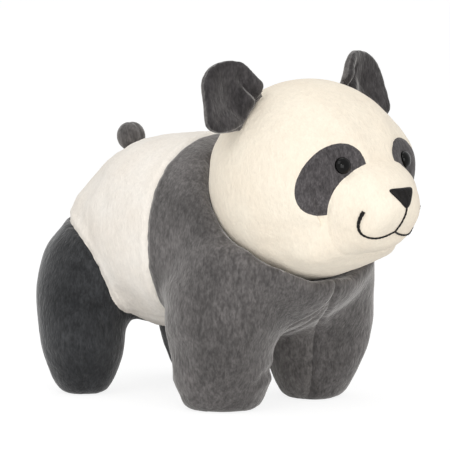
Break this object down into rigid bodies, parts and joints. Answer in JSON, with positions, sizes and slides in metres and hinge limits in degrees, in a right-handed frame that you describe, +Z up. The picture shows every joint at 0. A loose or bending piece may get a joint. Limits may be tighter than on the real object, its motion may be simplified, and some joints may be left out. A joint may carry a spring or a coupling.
{
  "type": "plush panda",
  "caption": "Soft toy panda standing on all fours, with sewn plush panels, domed eyes, embroidered nose and smile, and a head, ears and tail that bend.",
  "frame": {"origin": "on the ground under the middle of the toy", "axes": "+X towards the nose, +Y towards the toy's left, +Z up"},
  "size_m": [0.2622, 0.155, 0.2144],
  "materials": {
    "white_plush": "short pile",
    "cream_plush": "short pile",
    "charcoal_plush": "short pile",
    "dark_plush": "short pile",
    "patch_plush": "short pile",
    "black_thread": "satin stitch",
    "eye_plastic": "polished",
    "washer_plastic": "moulded",
    "fibre_filling": "loose fibre"
  },
  "bodies": {
    "torso": {"back_panel_left": "white_plush", "back_panel_right": "white_plush", "belly_panel": "white_plush", "shoulder_panel_left": "charcoal_plush", "shoulder_panel_right": "charcoal_plush", "foreleg_inner_left": "charcoal_plush", "foreleg_inner_right": "charcoal_plush", "hind_leg_outer_left": "dark_plush", "hind_leg_outer_right": "dark_plush", "hind_leg_inner_left": "dark_plush", "hind_leg_inner_right": "dark_plush", "body_filling": "fibre_filling", "foreleg_filling_left": "fibre_filling", "foreleg_filling_right": "fibre_filling", "hind_leg_filling_left": "fibre_filling", "hind_leg_filling_right": "fibre_filling"},
    "neck": {"neck_seam": "charcoal_plush"},
    "head": {"head_side_left": "cream_plush", "head_side_right": "cream_plush", "muzzle_panel": "cream_plush", "eye_patch_left": "patch_plush", "eye_patch_right": "patch_plush", "head_filling": "fibre_filling", "eye_left": "eye_plastic", "eye_right": "eye_plastic", "eye_washer_left": "washer_plastic", "eye_washer_right": "washer_plastic", "nose_embroidery": "black_thread", "mouth_embroidery": "black_thread"},
    "ear_left": {"ear_front_left": "charcoal_plush", "ear_back_left": "charcoal_plush"},
    "ear_right": {"ear_front_right": "charcoal_plush", "ear_back_right": "charcoal_plush"},
    "tail": {"tail_left": "charcoal_plush", "tail_right": "charcoal_plush", "tail_filling": "fibre_filling"}
  },
  "joints": [
    {"name": "head_turn", "type": "hinge", "parent": "torso", "child": "neck", "pos_m": [0.05175, 0, 0.137], "axis": [0, 0, 1], "range_deg": [-15, 15], "stiffness_Nm_per_rad": 0.4},
    {"name": "head_nod", "type": "hinge", "parent": "neck", "child": "head", "pos_m": [0.05175, 0, 0.137], "axis": [0, 1, 0], "range_deg": [-8, 10], "stiffness_Nm_per_rad": 0.4},
    {"name": "ear_fold_left", "type": "hinge", "parent": "head", "child": "ear_left", "pos_m": [0.04432, 0.04281, 0.17981], "axis": [-0.1037, 0.6942, -0.7122], "range_deg": [-25, 50], "stiffness_Nm_per_rad": 0.03},
    {"name": "ear_fold_right", "type": "hinge", "parent": "head", "child": "ear_right", "pos_m": [0.04432, -0.04281, 0.17981], "axis": [0.1037, 0.6942, 0.7122], "range_deg": [-25, 50], "stiffness_Nm_per_rad": 0.03},
    {"name": "tail_sway", "type": "hinge", "parent": "torso", "child": "tail", "pos_m": [-0.10025, 0, 0.15102], "axis": [0.829, 0, 0.5592], "range_deg": [-25, 25], "stiffness_Nm_per_rad": 0.03}
  ]
}
